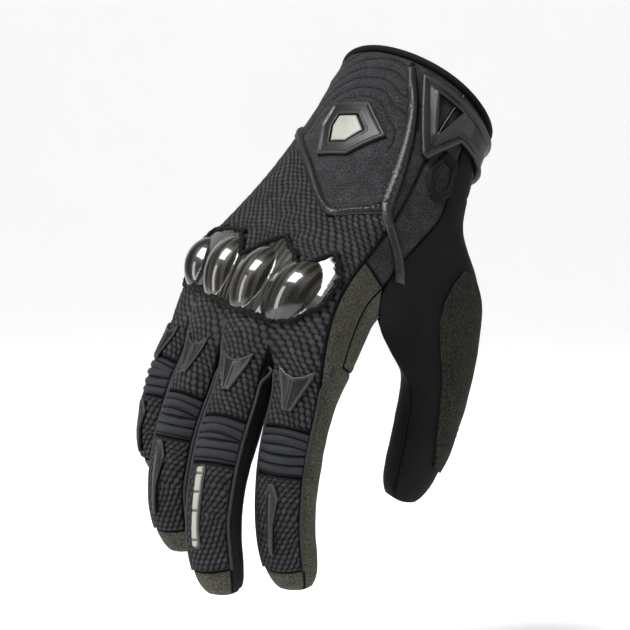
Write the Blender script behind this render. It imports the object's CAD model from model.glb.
import math

import bmesh
import bpy
from mathutils import Euler, Matrix, Vector, noise
from mathutils.bvhtree import BVHTree
from mathutils.interpolate import poly_3d_calc
from mathutils.kdtree import KDTree


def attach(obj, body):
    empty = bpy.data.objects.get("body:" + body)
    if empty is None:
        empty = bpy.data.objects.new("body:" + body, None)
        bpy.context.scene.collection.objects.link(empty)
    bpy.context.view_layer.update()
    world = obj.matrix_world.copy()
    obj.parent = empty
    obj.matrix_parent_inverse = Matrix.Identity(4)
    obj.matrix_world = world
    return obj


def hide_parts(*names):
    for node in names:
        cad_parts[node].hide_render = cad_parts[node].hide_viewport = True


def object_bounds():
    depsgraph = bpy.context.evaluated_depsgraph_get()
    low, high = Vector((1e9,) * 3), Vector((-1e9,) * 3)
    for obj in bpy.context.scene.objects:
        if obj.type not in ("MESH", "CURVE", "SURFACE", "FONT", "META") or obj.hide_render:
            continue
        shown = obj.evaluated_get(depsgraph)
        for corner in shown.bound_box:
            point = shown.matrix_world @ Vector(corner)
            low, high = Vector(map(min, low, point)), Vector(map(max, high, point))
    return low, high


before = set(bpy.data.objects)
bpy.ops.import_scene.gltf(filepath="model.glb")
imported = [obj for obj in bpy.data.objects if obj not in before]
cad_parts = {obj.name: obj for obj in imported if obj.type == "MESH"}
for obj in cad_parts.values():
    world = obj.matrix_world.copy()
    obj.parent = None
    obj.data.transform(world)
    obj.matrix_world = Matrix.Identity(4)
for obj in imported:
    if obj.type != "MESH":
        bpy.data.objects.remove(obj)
cad_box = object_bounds()

# The hand inside. The glove is sewn round a slack right hand that hangs a little forward, with x to its
# thumb, y to its palm and z to the forearm, in millimetres from the middle of the wrist opening. The pieces
# sewn on the fingers are laid out round these bones.
MM = 0.001
HANG = Euler([math.radians(turn) for turn in (-47, 4, 0)]).to_matrix()
FINGER_COLUMNS = (
    "name", "knuckle", "proximal", "middle", "distal", "bends", "splay", "roll", "twist", "half_width",
)
FINGER_ROWS = (
    ("pinky", (-31.04, 8.49, -86), 41.98, 18.98, 24.04, (20, 20, 22), -21, -25, 20, 8.8),
    ("ring", (-12, 2.51, -94), 50.95, 24.96, 30.02, (18, 18, 26), -6, -6, 18, 9.8),
    ("middle", (7.6, 0.48, -99), 54.97, 27.03, 33.01, (16, 15, 28), 3.9, -2, 18, 10.1),
    ("index", (28.8, 3.52, -97), 51.52, 24.5, 31.97, (24, 22, 20), 5.4, 6, 8, 10.8),
)
FINGERS = {row[0]: dict(zip(FINGER_COLUMNS, row)) for row in FINGER_ROWS}
THUMB_LINE = (
    (36, 29, -56), (38.5, 41, -67), (38.8, 53.1, -80), (36.6, 63.3, -92.5), (33.6, 73.8, -106),
    (29.3, 81.9, -117),
)


def hung(point):
    """A point or direction of the hand, in millimetres, as the glove hangs in the scene."""
    return HANG @ Vector(point) * MM


def in_hand(point):
    """A point of the scene in the hand's own millimetres."""
    return HANG.transposed() @ point / MM


def turned(vector, axis, degrees):
    return Matrix.Rotation(math.radians(degrees), 3, axis) @ vector


def bone_stations(finger):
    """A function that gives centre, along, back and side at a distance along the finger's bones."""
    splay = math.radians(finger["splay"])
    along = Vector((math.sin(splay), 0, -math.cos(splay)))
    side = turned(Vector((math.cos(splay), 0, math.sin(splay))), along, -finger["roll"])
    back = turned(Vector((0, -1, 0)), along, -finger["roll"])
    joint = Vector(finger["knuckle"])
    bones = []
    reached = 0
    for bend, length in zip(finger["bends"], (finger["proximal"], finger["middle"], finger["distal"])):
        along = turned(along, side, bend)
        back = turned(back, side, bend)
        bones.append((reached, joint, along, back))
        joint = joint + along * length
        reached += length

    def at(distance):
        start, origin, direction, up = [b for b in bones if b[0] <= distance or b is bones[0]][-1]
        return origin + direction * (distance - start), direction, up, side

    return at


bone_points = []
for finger in FINGERS.values():
    stations = bone_stations(finger)
    length = finger["proximal"] + finger["middle"] + finger["distal"]
    for step in range(int(length / 3) - 1):
        bone_points.append(hung(stations(step * 3.0)[0]))
    knuckle = Vector(finger["knuckle"])
    for step in range(30):
        bone_points.append(hung(knuckle.lerp(Vector((knuckle.x * 0.5, 5, 0)), step / 29)))
for first, second in zip(THUMB_LINE, THUMB_LINE[1:]):
    for step in range(5):
        bone_points.append(hung(Vector(first).lerp(Vector(second), step / 5)))
bones = KDTree(len(bone_points))
for number, point in enumerate(bone_points):
    bones.insert(point, number)
bones.balance()

# The cloth of the whole glove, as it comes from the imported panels: each is merged, its outside told from its
# lining and its cut edges, and smoothed. Every piece below is sewn or glued on this smooth cloth.
SEAM_WALL = 2.4


def merged(node):
    """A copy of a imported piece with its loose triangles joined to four-sided faces."""
    bm = bmesh.new()
    bm.from_mesh(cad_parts[node].data)
    bmesh.ops.remove_doubles(bm, verts=bm.verts[:], dist=0.002 * MM)
    limit = math.radians(40)
    bmesh.ops.join_triangles(bm, faces=bm.faces[:], angle_face_threshold=limit, angle_shape_threshold=limit)
    bm.normal_update()
    return bm


def patches(bm, fold):
    """The faces in groups that no fold sharper than this parts."""
    left = set(bm.faces)
    groups = []
    while left:
        group = []
        front = [left.pop()]
        while front:
            face = front.pop()
            group.append(face)
            for edge in face.edges:
                for other in edge.link_faces:
                    if other in left and edge.calc_face_angle(0) < fold:
                        left.discard(other)
                        front.append(other)
        groups.append(group)
    return groups


def smoothed(bm, levels):
    """The form after a subdivision surface, as a new bmesh."""
    mesh = bpy.data.meshes.new("form")
    bm.to_mesh(mesh)
    bm.free()
    thing = bpy.data.objects.new("form", mesh)
    bpy.context.scene.collection.objects.link(thing)
    surface = thing.modifiers.new("surface", "SUBSURF")
    surface.levels = surface.render_levels = levels
    smooth = bmesh.new()
    smooth.from_mesh(thing.evaluated_get(bpy.context.evaluated_depsgraph_get()).data)
    bpy.data.objects.remove(thing)
    bpy.data.meshes.remove(mesh)
    return smooth


def skin(node, levels=2, settle=0):
    """The smooth cloth of a panel: material slot 0 on its outside, 1 on its lining and its cut edges."""
    bm = merged(node)
    for group in patches(bm, math.radians(50)):
        members = set(group)
        area = sum(f.calc_area() for f in group)
        edge_length = sum(e.calc_length() for f in group for e in f.edges
                          if sum(g in members for g in e.link_faces) == 1)
        outward = 0
        for face in group:
            middle = face.calc_center_median()
            outward += face.normal.dot((middle - bones.find(middle)[0]).normalized()) * face.calc_area()
        outside = outward > 0 and 2 * area > SEAM_WALL * MM * edge_length
        for face in group:
            face.material_index = 0 if outside else 1
            face.smooth = True
    crease = bm.edges.layers.float.new("crease_edge")
    for edge in bm.edges:
        if edge.calc_face_angle(0) > math.radians(55):
            edge[crease] = 1
    if settle:
        inner = [v for v in bm.verts if all(e[crease] == 0 for e in v.link_edges)]
        axes = dict.fromkeys(("use_axis_x", "use_axis_y", "use_axis_z"), True)
        for _ in range(settle):
            bmesh.ops.smooth_vert(bm, verts=inner, factor=0.5, **axes)
    return smoothed(bm, levels)


CLOTH = (
    "hand_back", "wrist_panel", "side_panel", "index_side", "palm", "cuff_palm", "thumb_back", "thumb_front",
    "fourchette_pinky_ring", "fourchette_ring_middle", "fourchette_middle_index", "pinky_side",
) + tuple(f"{kind}_{name}" for name in FINGERS for kind in ("knuckle_ribs", "finger_back", "finger_front"))
skins = {node: skin(node, settle=8 if node == "wrist_panel" or "ribs" in node else 0) for node in CLOTH}
whole = bmesh.new()
for node in CLOTH:
    sheet_mesh = bpy.data.meshes.new("outside")
    skins[node].to_mesh(sheet_mesh)
    whole.from_mesh(sheet_mesh)
    bpy.data.meshes.remove(sheet_mesh)
bmesh.ops.delete(whole, geom=[f for f in whole.faces if f.material_index == 1], context="FACES")
whole.normal_update()
whole.faces.ensure_lookup_table()
surface = BVHTree.FromBMesh(whole)


def first_facing(origin, ray):
    """The first hit on an outside that faces the ray, as (depth, point, face)."""
    depth = 0.0
    for _ in range(8):
        spot, normal, number, reach = surface.ray_cast(origin + ray * depth, ray)
        if spot is None:
            return None
        depth += reach
        if normal.dot(ray) < 0:
            return depth, spot, number
        depth += 0.05 * MM
    return None


def laid_point(start, direction):
    """Where a ray from outside meets the cloth, also over a seam's gap, and the smoothed normal there."""
    origin, ray = hung(start), HANG @ direction
    side = ray.orthogonal().normalized() * 0.9 * MM
    over = ray.cross(side)
    hits = [first_facing(origin + shift, ray) for shift in (Vector(), side, over, -side, -over)]
    sound = [hit for hit in hits if hit]
    if sound:
        best = min(sound, key=lambda hit: hit[0])
        middle = hits[0]
        if middle and middle[0] < best[0] + 2.5 * MM:
            best = middle
        depth, spot, number = best
        if best is not middle:
            spot = origin + ray * depth
    else:
        steps = [origin + ray * MM * 2 * k for k in range(1, 50)]
        spot = min(steps, key=lambda step: surface.find_nearest(step)[3])
        number = surface.find_nearest(spot)[2]
    corners = whole.faces[number].verts
    weights = poly_3d_calc([v.co for v in corners], surface.find_nearest(spot)[0])
    return spot, sum((v.normal * w for v, w in zip(corners, weights)), Vector()).normalized()


def round_hand(axis_y, radius):
    """Lays a flat drawing round the hand: across runs to the thumb, along to the forearm."""
    def aim(across, along):
        angle = across / radius
        out = Vector((math.sin(angle), -math.cos(angle), 0))
        return Vector((0, axis_y, along)) + out * 90, -out
    return aim


def round_finger(finger):
    """Lays a flat drawing on a finger: across runs round it to the thumb's side, along follows its bones."""
    at = bone_stations(finger)

    def aim(across, along):
        centre, forward, back, _ = at(along)
        out = turned(back, forward, -finger["twist"] + math.degrees(-across / finger["half_width"]))
        return centre + out * 16, -out
    return aim


def as_object(name, bm, materials):
    """The finished piece, with smooth faces and the given materials."""
    mesh = bpy.data.meshes.new(name)
    for face in bm.faces:
        face.smooth = True
    bm.to_mesh(mesh)
    bm.free()
    thing = bpy.data.objects.new(name, mesh)
    for material in materials:
        mesh.materials.append(material)
    bpy.context.scene.collection.objects.link(thing)
    return thing


def sewn(thing, slot, *nodes):
    """Fixes the piece to the glove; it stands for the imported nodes, if any, and takes the slot's finish."""
    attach(thing, "root")
    if nodes:
        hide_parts(*nodes)
    return thing


class Tone:
    """A value in a finish: its operators add Math nodes, and make() adds any other node."""

    def __init__(self, tree, socket):
        self.tree = tree
        self.socket = socket

    def make(self, kind, settings, inputs, output=0):
        node = self.tree.nodes.new(kind)
        for key, value in settings.items():
            if key == "stops":
                for place, colour in value[1:-1]:
                    node.color_ramp.elements.new(place).color = (*colour, 1)
                for element, (place, colour) in ((0, value[0]), (-1, value[-1])):
                    node.color_ramp.elements[element].position = place
                    node.color_ramp.elements[element].color = (*colour, 1)
            else:
                setattr(node, key, value)
        for key, value in inputs.items():
            if isinstance(value, Tone):
                self.tree.links.new(value.socket, node.inputs[key])
            else:
                node.inputs[key].default_value = value
        return Tone(self.tree, node.outputs[output])

    def math(self, operation, first, second):
        return self.make("ShaderNodeMath", {"operation": operation}, {0: first, 1: second})

    def __add__(self, other):
        return self.math("ADD", self, other)

    __radd__ = __add__

    def __mul__(self, other):
        return self.math("MULTIPLY", self, other)

    __rmul__ = __mul__

    def __sub__(self, other):
        return self.math("SUBTRACT", self, other)

    def __rsub__(self, other):
        return self.math("SUBTRACT", other, self)

    def __mod__(self, other):
        return self.math("FLOORED_MODULO", self, other)

    def __lt__(self, other):
        return self.math("LESS_THAN", self, other)

    def clipped(self):
        return self.make("ShaderNodeClamp", {}, {0: self})

    def grain(self, scale, detail=2.0, rough=0.5):
        """Noise with so many grains in a metre, read at these coordinates."""
        inputs = {"Vector": self, "Scale": scale, "Detail": detail, "Roughness": rough}
        return self.make("ShaderNodeTexNoise", {}, inputs)

    def between(self, low, high):
        """Stretches the values from low to high over 0 to 1."""
        return self.make("ShaderNodeMapRange", {}, {"Value": self, "From Min": low, "From Max": high})

    def dye(self, dark, light):
        """Mixes two colours by this value."""
        return self.make("ShaderNodeMix", {"data_type": "RGBA"}, {0: self, 6: (*dark, 1), 7: (*light, 1)}, 2)

    def over(self, under, colour):
        """Lays a colour over another by this value."""
        return self.make("ShaderNodeMix", {"data_type": "RGBA"}, {0: self, 6: under, 7: (*colour, 1)}, 2)

    def bump(self, strength, distance):
        inputs = {"Strength": strength, "Distance": distance, "Height": self}
        return self.make("ShaderNodeBump", {}, inputs)


def socket_name(key):
    return key.replace("_", " ").title().replace("Ior", "IOR")


def finish(name, **constants):
    """A new material, its coordinates in metres and a function that feeds its shader's sockets."""
    material = bpy.data.materials.new(name)
    material.use_nodes = True
    tree = material.node_tree
    shader = tree.nodes["Principled BSDF"]
    for key, value in constants.items():
        shader.inputs[socket_name(key)].default_value = value
    coordinates = Tone(tree, tree.nodes.new("ShaderNodeTexCoord").outputs["Object"])

    def feed(**tones):
        for key, tone in tones.items():
            tree.links.new(tone.socket, shader.inputs[socket_name(key)])

    return material, coordinates, feed


def attribute(coordinates, name):
    """A value that the piece's own points carry."""
    return coordinates.make("ShaderNodeAttribute", {"attribute_name": name}, {}, 2)


# The quilted wrist panel: charcoal neoprene with a felted, speckled face, in padded waves round the badge.
WAVE_CENTRE = (6.0, -36.0)
WAVE_STEP = 4.3
WAVE_INNER = 16
WAVE_LOWEST = -4


def worked(bm, cuts, relief, seam=0.5, seam_width=1.7):
    """Cuts the outside finer, lifts it by relief(point) and draws it in along its seams."""
    rise = bm.verts.layers.float.new("rise")
    outside = list({e for f in bm.faces if f.material_index == 0 for e in f.edges})
    if cuts:
        bmesh.ops.subdivide_edges(bm, edges=outside, cuts=cuts, use_grid_fill=True)
    bm.normal_update()
    top = {v for f in bm.faces if f.material_index == 0 for v in f.verts}
    border = [v for v in top if any(f.material_index == 1 for f in v.link_faces)]
    edge = KDTree(len(border))
    for number, v in enumerate(border):
        edge.insert(v.co, number)
    edge.balance()
    moves = []
    for v in top:
        away = edge.find(v.co)[2] / MM
        height, tone = relief(in_hand(v.co))
        share = min(away / 1.1, 1)
        sink = seam * max(0, 1 - away / seam_width) ** 2
        v[rise] = tone * share
        moves.append((v, v.normal * (height * share - sink) * MM))
    for v, move in moves:
        v.co += move
    return bm


def creased(point):
    """Soft folds of a plain cloth."""
    fold = noise.noise(point * 0.075) + 0.4 * noise.noise(point * 0.2)
    return fold * 0.35, 0.5 + fold * 0.3


lining, place, feed = finish("lining", roughness=0.9, specular_ior_level=0.1)
weave = place.grain(1800, 2)
feed(base_color=weave.dye((0.002, 0.002, 0.0022), (0.012, 0.012, 0.013)))
feed(normal=weave.bump(0.3, 0.0002))

neoprene, place, feed = finish(
    "neoprene", roughness=0.88, sheen_weight=0.03, sheen_roughness=0.5, specular_ior_level=0.12)
felt = place.grain(2100, 3, 0.85).between(0.4, 0.64)
blotch = place.grain(160, 4)
quilt = attribute(place, "rise").between(0.0, 0.6)
felted = (quilt * felt * (0.3 + 1.1 * blotch)).clipped()
feed(base_color=felted.dye((0.0025, 0.0025, 0.0028), (0.062, 0.063, 0.068)))
feed(normal=felt.bump(0.4, 0.00022))


def waved(point):
    """Rings of padding round the badge, only above it."""
    x, z = point.x - WAVE_CENTRE[0], point.z - WAVE_CENTRE[1]
    kink = 2.2 * math.exp(-((x - 11) / 4.5) ** 2)
    ring = (abs(x * 0.92) ** 2.3 + abs(z) ** 2.3) ** (1 / 2.3) + kink
    if ring < WAVE_INNER or z < WAVE_LOWEST:
        swell = 0.8
        share = 0
    else:
        swell = abs(math.sin(math.pi * (ring - WAVE_INNER) / WAVE_STEP)) ** 0.5
        share = min((z - WAVE_LOWEST) / 5, 1)
    height = (1 - share) * 0.8 + share * swell
    return height * 1.3 - 0.7, 0.12 + 0.88 * height


thing = as_object("neoprene_wrist", worked(skins["wrist_panel"], 3, waved), (neoprene, lining))
sewn(thing, "neoprene", "wrist_panel")
thing = as_object("felt_side", worked(skins["side_panel"], 1, creased), (neoprene, lining))
sewn(thing, "twill", "side_panel")

# The knitted back of the hand: a thick black knit of round loops, in one piece from the wrist panel to the
# ribs of the fingers, with a window for the knuckle guard. Each loop stands up as a small pillow.
LOOP = 2.55
LOOP_RISE = 0.75


def loops(across, along, size):
    """The height of the knit's loops, 0 in the gaps and 1 on top, at a flat point in millimetres."""
    wander = noise.noise(Vector((across, along, 0)) * 0.11)
    u = across / size + wander * 0.35
    v = along / (size * 1.5) + wander * 0.25
    near = 9.0
    for shift in (0, 0.5):
        a, b = u + shift, v + shift
        du = a - round(a)
        dv = (b - round(b)) * 1.6
        slant = du + dv * 0.35
        reach = slant * slant + dv * dv * 1.1
        if reach < near:
            near = reach
            loop = (round(a), round(b), shift * 7)
    uneven = 0.86 + 0.2 * noise.noise(Vector(loop) * 1.7)
    return max(0, 1 - near / 0.31) ** 0.5 * uneven


def flat_on_hand(point):
    """Flat knitting coordinates of a point of the hand."""
    return 38 * math.atan2(point.x, 18 - point.y), point.z * 1.04


def flat_on_finger(finger):
    """A function that gives the flat knitting coordinates of a point of this finger."""
    at = bone_stations(finger)
    length = finger["proximal"] + finger["middle"] + finger["distal"]
    stations = [(d, *at(d)) for d in range(0, int(length), 2)]

    def flattened(point):
        distance, centre, along, back, side = min(stations, key=lambda s: (point - s[1]).length_squared)
        reach = point - centre
        angle = math.atan2(reach.dot(side), reach.dot(back))
        return finger["half_width"] * angle, distance + reach.dot(along)

    return flattened


knit, place, feed = finish(
    "knit", roughness=0.8, sheen_weight=0.02, sheen_roughness=0.5, specular_ior_level=0.16)
loop_top = attribute(place, "rise").between(0.42, 0.98)
yarn = place.grain(2600, 3, 0.7)
patchy = place.grain(45, 3)
shade = (loop_top * (0.3 + 1.1 * yarn) * (0.7 + 0.6 * patchy)).clipped()
feed(base_color=shade.dye((0.0009, 0.0009, 0.001), (0.05, 0.0515, 0.056)))
feed(roughness=0.7 + 0.2 * yarn)
feed(normal=yarn.bump(0.6, 0.0003))

# Beside the trim the knit gives way to the side's felt, up to the cuff.
WRIST_AXIS_Y = 4
WRIST_RADIUS = 30
TRIM_MAIN = (
    (16, -4.5), (18, -7.5), (24, -15.7), (29.3, -27), (33.2, -40), (35.5, -52), (37, -60), (42, -65.5),
    (47, -69.5), (52, -75.5),
)


def beside_trim(point):
    """Whether a point of the hand lies between the trim and the thumb's side, above the trim's fork."""
    across = WRIST_RADIUS * math.atan2(point.x, WRIST_AXIS_Y - point.y)
    for (ax, az), (bx, bz) in zip(TRIM_MAIN, TRIM_MAIN[1:7]):
        if bz <= point.z <= az:
            return across > ax + (bx - ax) * (az - point.z) / (az - bz)
    return point.z > TRIM_MAIN[0][1] and across > 12


flatteners = [(bone_stations(finger)(0.0), flat_on_finger(finger)) for finger in FINGERS.values()]


def hand_knit(point):
    """The knit runs with the hand as far as the knuckles, and from there with the nearest finger."""
    def aside(entry):
        centre, forward, _, _ = entry[0]
        return abs(point.x - centre.x + (point.z - centre.z) * forward.x * 0.9)

    if beside_trim(point):
        return creased(point)
    across, along = flat_on_hand(point)
    if point.z < -78:
        (centre, *_), flattened = min(flatteners, key=aside)
        if point.z < centre.z + 8:
            finger_across, finger_along = flattened(point)
            share = min(max((centre.z + 8 - point.z) / 16, 0), 1)
            across += (finger_across + centre.x * 1.15 - across) * share
            along += (centre.z * 1.04 - finger_along - along) * share
    height = loops(across, along, LOOP)
    return height * LOOP_RISE, height


back = worked(skins["hand_back"], 3, hand_knit)
for face in back.faces:
    if face.material_index == 0 and beside_trim(in_hand(face.calc_center_median())):
        face.material_index = 2
sewn(as_object("knit_back", back, (knit, lining, neoprene)), "knit", "hand_back")

# The knitted backs of the fingers' last bones, in the same knit, sewn in below the ribs.
for name, finger in FINGERS.items():
    flattened = flat_on_finger(finger)

    def finger_knit(point):
        across, along = flattened(point)
        height = loops(across, along, LOOP)
        return height * LOOP_RISE, height

    bm = worked(skins["finger_back_" + name], 3, finger_knit)
    sewn(as_object("knit_finger_" + name, bm, (knit, lining)), "knit", "finger_back_" + name)

# The accordion ribs over each middle knuckle: four padded rolls of fine dark cloth, stitched down between
# them so that the finger bends.
ROLLS = 4
ROLL_HALF_LENGTH = 6.5
ROLL_RISE = 1.5
rib_cloth, place, feed = finish("rib_cloth", roughness=0.75, sheen_weight=0.02, specular_ior_level=0.16)
fine = place.grain(3200, 3, 0.7)
rolls = attribute(place, "rise").between(0.0, 0.75)
feed(base_color=(rolls * (0.55 + 0.6 * fine)).clipped().dye((0.0012, 0.0012, 0.0015), (0.024, 0.026, 0.031)))
feed(normal=fine.bump(0.4, 0.0002))
for name, finger in FINGERS.items():
    node = "knuckle_ribs_" + name
    flattened = flat_on_finger(finger)
    start = finger["proximal"] - ROLL_HALF_LENGTH

    def rolled(point):
        _, along = flattened(point)
        swell = abs(math.sin(math.pi * ROLLS * (along - start) / (2 * ROLL_HALF_LENGTH))) ** 0.55
        return swell * ROLL_RISE - 0.7, swell

    thing = as_object("rib_rolls_" + name, worked(skins[node], 5, rolled, 0.3, 1.0), (rib_cloth, lining))
    sewn(thing, "rib_cloth", node)

# The sides of the fingers: plain black fourchettes between them and down the little finger's side, in a
# smooth stretch twill that is sewn in a shallow crease.
twill, place, feed = finish("twill", roughness=0.78, sheen_weight=0.01, specular_ior_level=0.12)
threads = place.grain(2400, 2, 0.6)
cloudy = place.grain(70, 3)
faded = (threads * (0.6 + 0.8 * cloudy)).clipped()
feed(base_color=faded.dye((0.0012, 0.0012, 0.0012), (0.0095, 0.0098, 0.0102)))
feed(normal=threads.bump(0.35, 0.0002))
for node in ("fourchette_pinky_ring", "fourchette_ring_middle", "fourchette_middle_index", "pinky_side"):
    sewn(as_object("plain_" + node, worked(skins[node], 1, creased), (twill, lining)), "twill", node)

# The suede of the palm, of the index finger's side and of the fingers' fronts, which wraps up over the tips.
# It is a thin olive synthetic suede with a light speckle.
palm_suede, place, feed = finish(
    "palm_suede", roughness=0.92, sheen_weight=0.03, sheen_roughness=0.6, specular_ior_level=0.1)
speckle = place.grain(1900, 3, 0.75).between(0.38, 0.68)
nap = place.grain(130, 3)
tint = (speckle * (0.55 + 0.7 * nap)).clipped()
feed(base_color=tint.dye((0.009, 0.0088, 0.0062), (0.115, 0.111, 0.083)))
feed(roughness=0.85 + 0.12 * speckle)
feed(normal=speckle.bump(0.5, 0.00025))
for name in FINGERS:
    node = "finger_front_" + name
    thing = as_object("suede_finger_" + name, worked(skins[node], 1, creased), (palm_suede, lining))
    sewn(thing, "palm_suede", node)
for node in ("palm", "cuff_palm", "index_side"):
    thing = as_object("suede_" + node, worked(skins[node], 1, creased), (palm_suede, lining))
    sewn(thing, "palm_suede", node)

# The thumb: black twill from the side panel to the tip, sewn with a seam down its side.
for node in ("thumb_back", "thumb_front"):
    sewn(as_object("twill_" + node, worked(skins[node], 1, creased), (twill, lining)), "suede", node)

# The knuckle guard: one moulded carbon shell with a bump over each knuckle, under a clear gloss coat. It comes
# up through the window of the knit, whose edge is turned and overstitched.
GUARD_OUTLINE = (
    (-40.96, -86), (-31.04, -80.5), (-18, -82), (-13.04, -83), (-6.48, -93), (1.52, -88), (9.52, -83),
    (16, -88.5), (22.48, -94.5), (30.48, -85), (36, -93), (36.48, -105.5), (31.04, -112.5), (21.04, -114),
    (10.48, -113.5), (-2, -111), (-13.52, -108.5), (-28, -104), (-40.96, -99),
)
GUARD_BUMPS = (
    (-34.5, -92.5, 5.5, 9.0), (-16, -97, 7.5, 11.0), (4.5, -101, 8.0, 11.5), (24, -102.5, 8.0, 11.0),
)
GUARD_RISE = 4.2


def to_outline(x, y, outline):
    """The distance from a flat point to the nearest edge of an outline."""
    near = 99.0
    for (ax, ay), (bx, by) in zip(outline, outline[1:] + outline[:1]):
        dx, dy = bx - ax, by - ay
        share = min(max(((x - ax) * dx + (y - ay) * dy) / (dx * dx + dy * dy), 0), 1)
        near = min(near, math.hypot(x - ax - dx * share, y - ay - dy * share))
    return near


def laid(outline, aim, height, holes=(), cell=0.7, gap=0.3):
    """A flat outline laid on the cloth, height(x, y) thick with a tone; its UVs are millimetres."""
    bm = bmesh.new()
    rims = []
    for ring in (outline, *holes):
        corners = [bm.verts.new((x, y, 0)) for x, y in ring]
        rims += [bm.edges.new((a, b)) for a, b in zip(corners, corners[1:] + corners[:1])]
    bmesh.ops.triangle_fill(bm, edges=rims, use_beauty=True)
    for axis in (0, 1):
        low = min(p[axis] for p in outline)
        high = max(p[axis] for p in outline)
        count = max(1, round((high - low) / cell))
        normal = Vector((1 - axis, axis, 0))
        for k in range(1, count):
            line = normal * (low + (high - low) * k / count)
            everything = bm.verts[:] + bm.edges[:] + bm.faces[:]
            bmesh.ops.bisect_plane(bm, geom=everything, dist=0.02, plane_co=line, plane_no=normal)
    bmesh.ops.recalc_face_normals(bm, faces=bm.faces[:])
    if bm.faces[0].normal.z < 0:
        bmesh.ops.reverse_faces(bm, faces=bm.faces[:])
    body = bmesh.new()
    rise = body.verts.layers.float.new("rise")
    flat_map = body.loops.layers.uv.new("flat")
    tops, bottoms = {}, {}
    for v in bm.verts:
        start, direction = aim(v.co.x, v.co.y)
        spot, normal = laid_point(start, direction)
        lift, tone = height(v.co.x, v.co.y)
        bottoms[v] = body.verts.new(spot + normal * gap * MM)
        tops[v] = body.verts.new(spot + normal * (gap + lift) * MM)
        tops[v][rise] = tone
    for face in bm.faces:
        made = body.faces.new([tops[v] for v in face.verts])
        for loop, v in zip(made.loops, face.verts):
            loop[flat_map].uv = (v.co.x, v.co.y)
        body.faces.new([bottoms[v] for v in reversed(face.verts)])
    for edge in bm.edges:
        if len(edge.link_faces) == 1:
            a, b = edge.verts
            if edge.link_loops[0].vert is not a:
                a, b = b, a
            made = body.faces.new((tops[b], tops[a], bottoms[a], bottoms[b]))
            for loop in made.loops:
                loop[flat_map].uv = (a.co.x, a.co.y)
    bm.free()
    bmesh.ops.recalc_face_normals(body, faces=body.faces[:])
    return body


def guard_form(x, y):
    rise = 0.0
    for across, along, half_across, half_along in GUARD_BUMPS:
        reach = ((x - across) / half_across) ** 2 + ((y - along) / half_along) ** 2
        rise += (GUARD_RISE * max(1 - reach / 1.25, 0) ** 0.95) ** 3
    rise = rise ** (1 / 3)
    return 0.8 + rise, rise / GUARD_RISE


carbon, place, feed = finish("carbon", coat_weight=1.0, coat_roughness=0.05, specular_ior_level=0.3)
flat_place = place.make("ShaderNodeUVMap", {"uv_map": "flat"}, {})
across = flat_place.make("ShaderNodeSeparateXYZ", {}, {0: flat_place}, 0)
along = flat_place.make("ShaderNodeSeparateXYZ", {}, {0: flat_place}, 1)
half_tow = across * 1.6
offset = half_tow.make("ShaderNodeMath", {"operation": "FLOOR"}, {0: half_tow}) % 2
dot = ((along * 1.15 + 0.5 * offset) % 1) < 0.62
column = ((across * 0.38) % 1) < 0.46
tow = dot * column
strand = (half_tow % 1) - 0.5
rounded = 1 - strand * strand * 3
glint = (place.grain(40, 2).between(0.3, 0.62) * tow * rounded).clipped()
feed(base_color=glint.dye((0.001, 0.001, 0.0011), (0.085, 0.074, 0.045)))
feed(roughness=0.36 - 0.1 * tow)
feed(normal=(rounded * (0.4 + 0.6 * tow)).bump(0.2, 0.0002))
guard_aim = round_hand(axis_y=25, radius=43)
guard = laid(GUARD_OUTLINE, guard_aim, guard_form, cell=0.6, gap=0.5)
sewn(as_object("carbon_guard", guard, (carbon,)), "carbon", "knuckle_guard")


def tube(points, radius, wobble=0.0):
    """A round cord through points of the scene, closed at both ends."""
    line = bpy.data.curves.new("line", "CURVE")
    line.dimensions = "3D"
    line.bevel_depth = radius * MM
    line.bevel_resolution = 2
    line.use_fill_caps = True
    spline = line.splines.new("POLY")
    spline.points.add(len(points) - 1)
    for k, point in enumerate(points):
        spline.points[k].co = (*point, 1)
        spline.points[k].radius = 1 + wobble * noise.noise(point / MM * 0.9)
    thing = bpy.data.objects.new("line", line)
    bpy.context.scene.collection.objects.link(thing)
    cord_mesh = bpy.data.meshes.new_from_object(thing.evaluated_get(bpy.context.evaluated_depsgraph_get()))
    bm = bmesh.new()
    bm.from_mesh(cord_mesh)
    bpy.data.objects.remove(thing)
    bpy.data.meshes.remove(cord_mesh)
    bmesh.ops.remove_doubles(bm, verts=bm.verts[:], dist=0.001 * MM)
    bmesh.ops.recalc_face_normals(bm, faces=bm.faces[:])
    return bm


def stepped(line, pitch):
    """Flat points at an even pitch along a flat line."""
    result = []
    left = 0.0
    for (ax, ay), (bx, by) in zip(line, line[1:]):
        length = math.hypot(bx - ax, by - ay)
        while left <= length:
            share = left / length
            result.append((ax + (bx - ax) * share, ay + (by - ay) * share))
            left += pitch
        left -= length
    return result


def laid_line(line, aim, lift, pitch=1.0, stray=0.0):
    """Points of the scene along a flat line, at a height over the cloth."""
    points = []
    for x, y in stepped(line, pitch):
        sway = noise.noise(Vector((x, y, 0)) * 0.8) * stray
        spot, normal = laid_point(*aim(x + sway, y + sway))
        points.append(spot + normal * lift * MM)
    return points


def combined(parts):
    """Several bmeshes as one."""
    whole_piece = bmesh.new()
    for part in parts:
        mesh = bpy.data.meshes.new("part")
        part.to_mesh(mesh)
        part.free()
        whole_piece.from_mesh(mesh)
        bpy.data.meshes.remove(mesh)
    return whole_piece


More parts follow.
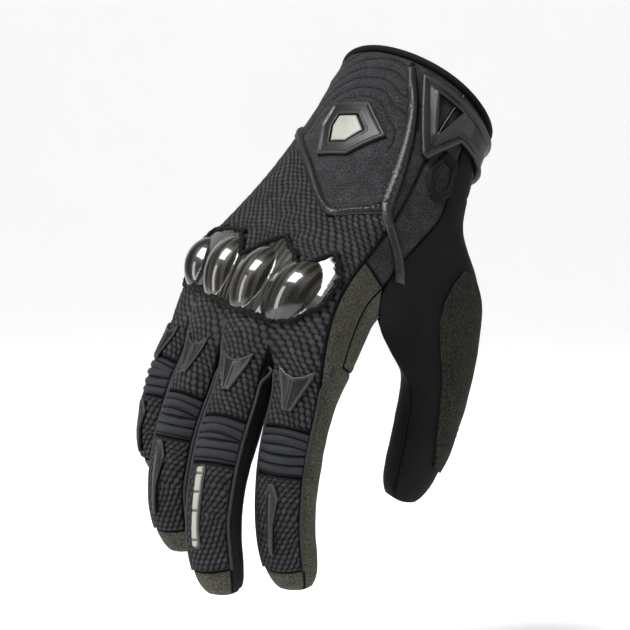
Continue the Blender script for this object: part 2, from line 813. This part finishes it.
def stitches(line, aim, lift, length=1.5, space=0.8, thick=0.28):
    """Short stitches of thread along a flat line, as small stretched balls."""
    bm = bmesh.new()
    marks = laid_line(line, aim, lift, length + space)
    for before, after in zip(marks, marks[1:]):
        along = (after - before).normalized()
        turn = along.to_track_quat("X", "Z").to_matrix().to_4x4()
        size = Matrix.Diagonal((length / 2 * MM, thick * MM, thick * MM, 1))
        place_there = Matrix.Translation((before + after) / 2) @ turn @ size
        bmesh.ops.create_uvsphere(bm, u_segments=6, v_segments=4, radius=1, matrix=place_there)
    return bm


guard_edge = GUARD_OUTLINE[:1] + GUARD_OUTLINE[:0:-1] + GUARD_OUTLINE[:1]
edge_cord = tube(laid_line(guard_edge, guard_aim, 1.2, 0.8, 0.9), 1.05, 0.5)
sewn(as_object("window_edge", edge_cord, (knit,)), "knit")
thread, place, feed = finish("thread", roughness=0.6, specular_ior_level=0.2)
twist = place.grain(3000, 2)
feed(base_color=twist.dye((0.006, 0.006, 0.0065), (0.03, 0.03, 0.03)))
feed(normal=twist.bump(0.3, 0.0001))
sewn(as_object("window_stitches", stitches(guard_edge, guard_aim, 1.95, 1.3, 0.9), (thread,)), "knit")

# The grey piping sewn into the seams on both sides of each finger's back.
seam_points = [v.co.copy() for v in whole.verts if v.is_boundary]
seams = KDTree(len(seam_points))
for number, point in enumerate(seam_points):
    seams.insert(point, number)
seams.balance()


def along_seam(points):
    """The points drawn to the nearest seam, where there is one, and evened out."""
    drawn = []
    for point in points:
        seam, _, away = seams.find(point)
        drawn.append(seam if away < 3.2 * MM else point)
    for _ in range(3):
        drawn = drawn[:1] + [(a + b * 2 + c) / 4 for a, b, c in zip(drawn, drawn[1:], drawn[2:])] + drawn[-1:]
    return drawn


piping, place, feed = finish("piping", roughness=0.6, sheen_weight=0.01, specular_ior_level=0.2)
rubbed = place.grain(900, 3)
feed(base_color=rubbed.dye((0.009, 0.0095, 0.0095), (0.034, 0.036, 0.036)))
feed(normal=rubbed.bump(0.3, 0.0002))
for name, finger in FINGERS.items():
    side = math.radians(62) * finger["half_width"]
    end = finger["proximal"] + finger["middle"] + finger["distal"] - 16
    parts = []
    for across, begin in ((-side, 14), (side, 22 if name == "index" else 14)):
        run = laid_line([(across, begin), (across, end)], round_finger(finger), 0.25, 1.5)
        parts.append(tube(along_seam(run), 0.65))
    sewn(as_object("piping_" + name, combined(parts), (piping,)), "twill")

# The chevrons on the fingers' first bones: moulded rubber badges with a raised edge and a ridge down the
# middle, glued on the knit.
rubber, place, feed = finish("rubber", specular_ior_level=0.35)
mould = place.grain(1400, 3, 0.6)
haze = place.grain(55, 4)
lip = attribute(place, "rise")
feed(base_color=(lip * 0.8 + haze * 0.2).clipped().dye((0.0022, 0.0025, 0.0026), (0.04, 0.045, 0.043)))
feed(roughness=0.3 + 0.25 * haze)
feed(normal=mould.bump(0.12, 0.0001))
CHEVRON_ROWS = (
    ("pinky", -12, 24.0, 5.0, 13.46), ("ring", -20, 23.46, 5.6, 14.49), ("middle", -14, 24.5, 6.0, 14.95),
    ("index", -2, 24.5, 6.4, 15.53),
)
for name, degrees, start, half_width, length in CHEVRON_ROWS:
    finger = FINGERS[name]
    middle = math.radians(degrees) * finger["half_width"]
    right = ((0.45, 0.18), (1.0, 0.0), (0.86, 0.3), (0.3, 1.0))
    shape = ((0.0, 0.24), *right, *((-x, y) for x, y in reversed(right)))
    outline = tuple((middle + x * half_width, start + y * length) for x, y in shape)

    def chevron_form(x, y):
        edge = to_outline(x, y, outline)
        lip = math.exp(-((edge - 0.45) / 0.38) ** 2)
        ridge = max(0, 1 - abs(x - middle) / 0.75) * min(max((y - start - 3.5) / 3, 0), 1)
        slope = max(0, 1 - abs(x - middle) / half_width) * 0.45 if edge > 1.0 else 0
        return 0.75 + 0.6 * lip + 0.5 * ridge + slope, max(lip, ridge * 0.9) * 0.75

    bm = laid(outline, round_finger(finger), chevron_form, cell=0.35, gap=0.2)
    sewn(as_object("rubber_chevron_" + name, bm, (rubber,)), "rubber", "chevron_" + name)

# The spikes on the fingers' last bones: narrow keeled kites of the same rubber, with a notch at the wide end.
SPIKE_ROWS = (
    ("pinky", 2, 50.95, 2.1, 14.95), ("ring", -12, 60.03, 2.7, 21.97), ("index", -4, 61.53, 2.8, 21.5),
)
for name, degrees, start, half_width, length in SPIKE_ROWS:
    finger = FINGERS[name]
    middle = math.radians(degrees) * finger["half_width"]
    right = ((0.45, 0.0), (1.0, 0.22), (0.35, 0.75), (0.15, 1.0))
    outline = tuple((middle + x * half_width, start + y * length)
                    for x, y in (*right, *((-x, y) for x, y in reversed(right))))

    def spike_form(x, y):
        edge = to_outline(x, y, outline)
        reach = (y - start) / length
        keel = max(0, 1 - abs(x - middle) / half_width)
        notch = max(0, 1 - math.hypot((x - middle) / 0.7, (y - start - length * 0.12) / 2.2))
        lip = math.exp(-((edge - 0.3) / 0.3) ** 2) * (1 if reach < 0.28 else 0.3)
        return 0.7 + 1.5 * keel + 0.4 * lip - 1.1 * notch, max(lip, keel ** 6 * 0.8) * (1 - notch)

    bm = laid(outline, round_finger(finger), spike_form, cell=0.33, gap=0.2)
    sewn(as_object("rubber_spike_" + name, bm, (rubber,)), "rubber", "spike_" + name)

# The middle finger's light rubber bar, left plain, with a dark moulded border.
light_rubber, place, feed = finish("light_rubber", specular_ior_level=0.5)
worn = place.grain(300, 4)
face = attribute(place, "rise")
feed(base_color=(face * (0.8 + 0.3 * worn)).clipped().dye((0.006, 0.0065, 0.0065), (0.3, 0.305, 0.265)))
feed(roughness=0.35 + 0.2 * worn)
feed(normal=worn.bump(0.1, 0.0001))
finger = FINGERS["middle"]
bar_middle = math.radians(-18) * finger["half_width"]
BAR_START = 64.06
BAR_LENGTH = 24.96
BAR_HALF_WIDTH = 2.3
bar = tuple((bar_middle + x * BAR_HALF_WIDTH, BAR_START + y * BAR_LENGTH) for x, y in (
    (-1, 0.06), (-0.6, 0), (0.6, 0), (1, 0.06), (1, 0.94), (0.6, 1), (-0.6, 1), (-1, 0.94)))


def bar_form(x, y):
    edge = to_outline(x, y, bar)
    step = min(max((edge - 0.75) / 0.3, 0), 1)
    groove = math.exp(-(((y - BAR_START) % (BAR_LENGTH / 4) - BAR_LENGTH / 8) / 0.4) ** 2) * step
    return 0.8 + 0.7 * step - 0.6 * groove, step * (1 - groove)


bm = laid(bar, round_finger(finger), bar_form, cell=0.33, gap=0.2)
sewn(as_object("light_bar", bm, (light_rubber,)), "light_rubber", "finger_bar")

# The rubber trim that frames the wrist panel: one rib from the cuff down to the thumb's seam and its branch
# round under the badge. It is a soft rib with a groove beside it, glued and sewn on the seam.
wrist_aim = round_hand(WRIST_AXIS_Y, WRIST_RADIUS)
TRIM_BRANCH = (
    (36.6, -59.5), (34, -62.5), (29.5, -66), (24, -69.5), (12.8, -62.5), (-2, -52.5), (-17, -42.5), (-29, -31),
)
TRIM_HALF_WIDTH = 1.7


def rounded_line(line, times=2):
    """The line with its corners cut, so that it runs in soft bends."""
    for _ in range(times):
        soft = [line[0]]
        for (ax, ay), (bx, by) in zip(line, line[1:]):
            for share in (0.25, 0.75):
                soft.append((ax * (1 - share) + bx * share, ay * (1 - share) + by * share))
        line = soft + [line[-1]]
    return line


def strip_outline(points, half_width):
    """The outline of a strip that follows a flat line."""
    left, right = [], []
    for k, point in enumerate(points):
        before, after = points[max(k - 1, 0)], points[min(k + 1, len(points) - 1)]
        along = Vector((after[0] - before[0], after[1] - before[1])).normalized()
        left.append((point[0] - along.y * half_width, point[1] + along.x * half_width))
        right.append((point[0] + along.y * half_width, point[1] - along.x * half_width))
    return tuple(left + right[::-1])


for name, line in (("trim_main", TRIM_MAIN), ("trim_branch", TRIM_BRANCH)):
    outline = strip_outline(rounded_line(line), TRIM_HALF_WIDTH)

    def trim_form(x, y):
        edge = min(to_outline(x, y, outline), TRIM_HALF_WIDTH)
        dome = max(0, 1 - ((TRIM_HALF_WIDTH - edge) / TRIM_HALF_WIDTH) ** 2) ** 0.5
        groove = math.exp(-((edge - 0.75) / 0.2) ** 2)
        return 0.3 + 1.35 * dome - 0.35 * groove, 0.1 + 0.22 * dome - 0.3 * groove

    bm = laid(outline, wrist_aim, trim_form, cell=0.5, gap=0.25)
    sewn(as_object("rubber_" + name, bm, (rubber,)), "rubber", name)

# The badge on the back of the wrist: a plain six-sided rubber plate with a raised edge, a sunk face and a
# light inlay, all without any mark.
BADGE = ((-8, -24.5), (10, -22.5), (24, -33), (14, -44.5), (-2, -46.5), (-9, -34))


def drawn_in(outline, share):
    """The outline made smaller round the middle of its corners."""
    middle_x, middle_y = (sum(axis) / len(outline) for axis in zip(*outline))
    return tuple((middle_x + (x - middle_x) * share, middle_y + (y - middle_y) * share) for x, y in outline)


window = drawn_in(BADGE, 0.55)
inlay = drawn_in(BADGE, 0.495)


def badge_form(x, y):
    edge = to_outline(x, y, BADGE)
    inner = to_outline(x, y, window)
    lip = math.exp(-((edge - 0.6) / 0.5) ** 2)
    ledge = math.exp(-((inner - 0.5) / 0.45) ** 2)
    return 1.1 + 0.7 * lip + 0.45 * ledge, max(lip, ledge) * 0.5 + 0.08


def inlay_form(x, y):
    edge = to_outline(x, y, inlay)
    return 1.0 + 0.5 * min(edge / 1.2, 1) ** 0.5, min(edge / 0.5, 1)


bm = laid(BADGE, wrist_aim, badge_form, (window,), cell=0.5, gap=0.3)
sewn(as_object("rubber_badge", bm, (rubber,)), "rubber", "badge")
bm = laid(inlay, wrist_aim, inlay_form, cell=0.5, gap=0.3)
sewn(as_object("light_inlay", bm, (light_rubber,)), "light_rubber", "badge_inlay")

# The strap that closes the cuff: a bare moulded rubber tab with a raised frame round a sunk triangle, which
# goes round the thumb's side of the wrist to its hook patch.
STRAP = (
    (21.5, -5.5), (29, -5), (40, -5), (60, -5), (78, -4.5), (84, -7), (84, -15), (78, -18.5), (60, -18.5),
    (50, -17.5), (43.5, -18), (40.5, -26), (38, -33), (36, -32.5), (28, -18),
)
RECESS = ((29.5, -9), (38.5, -9), (36.5, -23))


def strap_form(x, y):
    edge = to_outline(x, y, STRAP)
    inner = to_outline(x, y, RECESS)
    lip = math.exp(-((edge - 0.7) / 0.55) ** 2)
    frame_edge = math.exp(-((inner - 0.6) / 0.6) ** 2)
    channel = math.exp(-((edge - 2.4) / 0.7) ** 2)
    tone = 0.1 + 0.35 * max(lip, frame_edge) - 0.1 * channel
    return 1.5 + 0.8 * lip + 0.9 * frame_edge - 0.5 * channel, tone


bm = laid(STRAP, wrist_aim, strap_form, (RECESS,), cell=0.6, gap=0.4)
sewn(as_object("rubber_strap", bm, (rubber,)), "rubber", "strap")

# The keyhole vent beside the strap: a slot in the cloth, bound with a thick black edge and stitched round.
VENT = (
    (41.5, -24.5), (46.5, -24), (48.5, -29), (49.5, -36), (48, -41.5), (45, -43), (42.5, -41), (40.5, -35),
)
slot_outline = drawn_in(VENT, 0.62)


def vent_form(x, y):
    edge = min(to_outline(x, y, VENT), to_outline(x, y, slot_outline))
    return 0.4 + 1.2 * min(edge / 0.9, 1) ** 0.5, 0.15


bm = laid(VENT, wrist_aim, vent_form, (slot_outline,), cell=0.5, gap=0.25)
sewn(as_object("bound_vent", bm, (twill,)), "rubber", "vent_binding")
vent_stitches = stitches(VENT + VENT[:1], wrist_aim, 0.75, 1.2, 0.7, 0.2)
sewn(as_object("vent_stitches", vent_stitches, (thread,)), "twill")

# The suede patch on the thumb: dark olive, laid over the twill from the wrist to the tip, its edge stitched
# twice.
THUMB_RADIUS = 12.0
THUMB_AXES = (
    (0.3, 0.62, -0.72), (0.1, 0.66, -0.74), (-0.05, 0.66, -0.75), (-0.15, 0.64, -0.76), (-0.25, 0.6, -0.77),
    (-0.3, 0.58, -0.76),
)
THUMB_PATCH = (
    (3, 0), (-2.5, 4), (-6.5, 9), (-10, 16), (-10, 27), (-9, 40), (-7.5, 54), (-4.5, 64), (3, 66), (9, 58),
    (13, 44), (14, 28), (12, 12), (9, 2),
)


def round_thumb(across, along):
    """Lays a flat drawing on the thumb: across runs round its back to the forearm, along is from its base."""
    reached = 0.0
    for first, second in zip(range(5), range(1, 6)):
        start, end = Vector(THUMB_LINE[first]), Vector(THUMB_LINE[second])
        length = (end - start).length
        share = (along - reached) / length
        if share <= 1 or second == 5:
            break
        reached += length
    forward = (Vector(THUMB_AXES[first]) * (1 - share) + Vector(THUMB_AXES[second]) * share).normalized()
    down = Vector((0, 0, -1))
    toward_index = (down - forward * down.dot(forward)).normalized()
    over = forward.cross(toward_index)
    over = -over if over.x < 0 else over
    angle = across / THUMB_RADIUS
    out = toward_index * math.sin(-angle) + over * math.cos(angle)
    return start.lerp(end, share) + out * 40, -out


suede, place, feed = finish(
    "suede", roughness=0.92, sheen_weight=0.02, sheen_roughness=0.6, specular_ior_level=0.1)
speckle = place.grain(1700, 3, 0.75).between(0.4, 0.7)
nap = place.grain(110, 3)
feed(base_color=(speckle * (0.4 + 0.9 * nap)).clipped().dye((0.004, 0.0039, 0.0027), (0.05, 0.0475, 0.034)))
feed(normal=speckle.bump(0.5, 0.00025))


def patch_form(x, y):
    edge = to_outline(x, y, THUMB_PATCH)
    sewn_in = math.exp(-((edge - 1.3) / 0.4) ** 2) + math.exp(-((edge - 3.0) / 0.4) ** 2)
    fold = noise.noise(Vector((x, y, 3)) * 0.13)
    return 0.75 - 0.3 * sewn_in + 0.35 * fold, 0.5


bm = laid(THUMB_PATCH, round_thumb, patch_form, cell=0.7, gap=0.25)
sewn(as_object("suede_thumb_patch", bm, (suede,)), "suede", "thumb_patch")
patch_middle = (1.5, 33)
rows = []
for share in (0.9, 0.78):
    line = tuple((patch_middle[0] + (x - patch_middle[0]) * share,
                  patch_middle[1] + (y - patch_middle[1]) * (0.06 * (1 - share) + share + 0.04))
                 for x, y in THUMB_PATCH)
    rows.append(stitches(line + line[:1], round_thumb, 0.85, 1.3, 0.8, 0.22))
sewn(as_object("thumb_stitches", combined(rows), (thread,)), "suede")

# The bound edge of the cuff: black tape folded over the rim and stitched below.
bm = merged("cuff_binding")
for face in bm.faces:
    face.smooth = True
tape = smoothed(bm, 2)
sewn(as_object("cuff_tape", tape, (twill,)), "twill", "cuff_binding")

# The studio: a pale floor that sweeps up behind the glove, large soft lights and the photograph's view.
camera_back = (HANG @ Vector((0.667, -0.586, -0.46))).normalized()
camera_up = (HANG @ Vector((-0.115, -0.691, 0.714))).normalized()
camera_right = camera_up.cross(camera_back).normalized()
target = (camera_right * -34.2 + camera_up * -76.8) * MM
lens = bpy.data.cameras.new("view")
lens.lens = 200
lens.sensor_width = 36
view = bpy.data.objects.new("view", lens)
turn = Matrix((camera_right, camera_back.cross(camera_right), camera_back)).transposed().to_4x4()
view.matrix_world = Matrix.Translation(target + camera_back * 1.259) @ turn
lens.clip_end = 50
bpy.context.scene.collection.objects.link(view)
bpy.context.scene.camera = view

FLOOR_Z = cad_box[0][2] - 0.03
white, place, feed = finish("pale_sweep", roughness=0.9, specular_ior_level=0.0, emission_strength=0.42)
even = place.grain(6, 2)
feed(base_color=even.dye((0.9, 0.9, 0.9), (0.93, 0.93, 0.93)))
feed(emission_color=even.dye((0.98, 0.98, 0.98), (1, 1, 1)))
bm = bmesh.new()
bmesh.ops.create_grid(bm, x_segments=1, y_segments=1, size=2.5)
behind = [e for e in bm.edges if all(v.co.y > 0 for v in e.verts)]
raised_part = bmesh.ops.extrude_edge_only(bm, edges=behind)["geom"]
bmesh.ops.translate(bm, verts=[g for g in raised_part if isinstance(g, bmesh.types.BMVert)], vec=(0, 0, 3))
bmesh.ops.bevel(bm, geom=behind, offset=0.8, segments=10, profile=0.5, affect="EDGES", material=-1)
flat_back = Vector((camera_back.x, camera_back.y, 0)).normalized()
heading = Vector((0, -1, 0)).rotation_difference(flat_back).to_matrix()
bmesh.ops.rotate(bm, verts=bm.verts[:], cent=(0, 0, 0), matrix=heading)
bmesh.ops.translate(bm, verts=bm.verts[:], vec=(0, 0, FLOOR_Z))
sweep = as_object("sweep", bm, (white,))

LIGHT_ROWS = (
    ("key", -0.45, 1.25, 0.5, 0.6, 0.6, 27),
    ("strip", -1.0, 0.2, 0.6, 0.25, 1.2, 8),
    ("side", 1.2, 0.4, 0.3, 0.5, 0.5, 3),
    ("low", -0.4, -0.5, 1.0, 0.6, 0.6, 1),
)
for name, right, up, back, width, height, energy in LIGHT_ROWS:
    lamp = bpy.data.lights.new(name, "AREA")
    lamp.shape = "RECTANGLE"
    lamp.size = width
    lamp.size_y = height
    lamp.energy = energy
    box = bpy.data.objects.new(name, lamp)
    spot = target + camera_right * right + camera_up * up + camera_back * back
    box.location = spot
    box.rotation_euler = (spot - target).to_track_quat("Z", "Y").to_euler()
    bpy.context.scene.collection.objects.link(box)
sky = bpy.data.worlds.new("studio")
sky.use_nodes = True
sky.node_tree.nodes["Background"].inputs["Color"].default_value = (1, 1, 1, 1)
sky.node_tree.nodes["Background"].inputs["Strength"].default_value = 0.14
bpy.context.scene.world = sky
bpy.context.scene.view_settings.view_transform = "Standard"
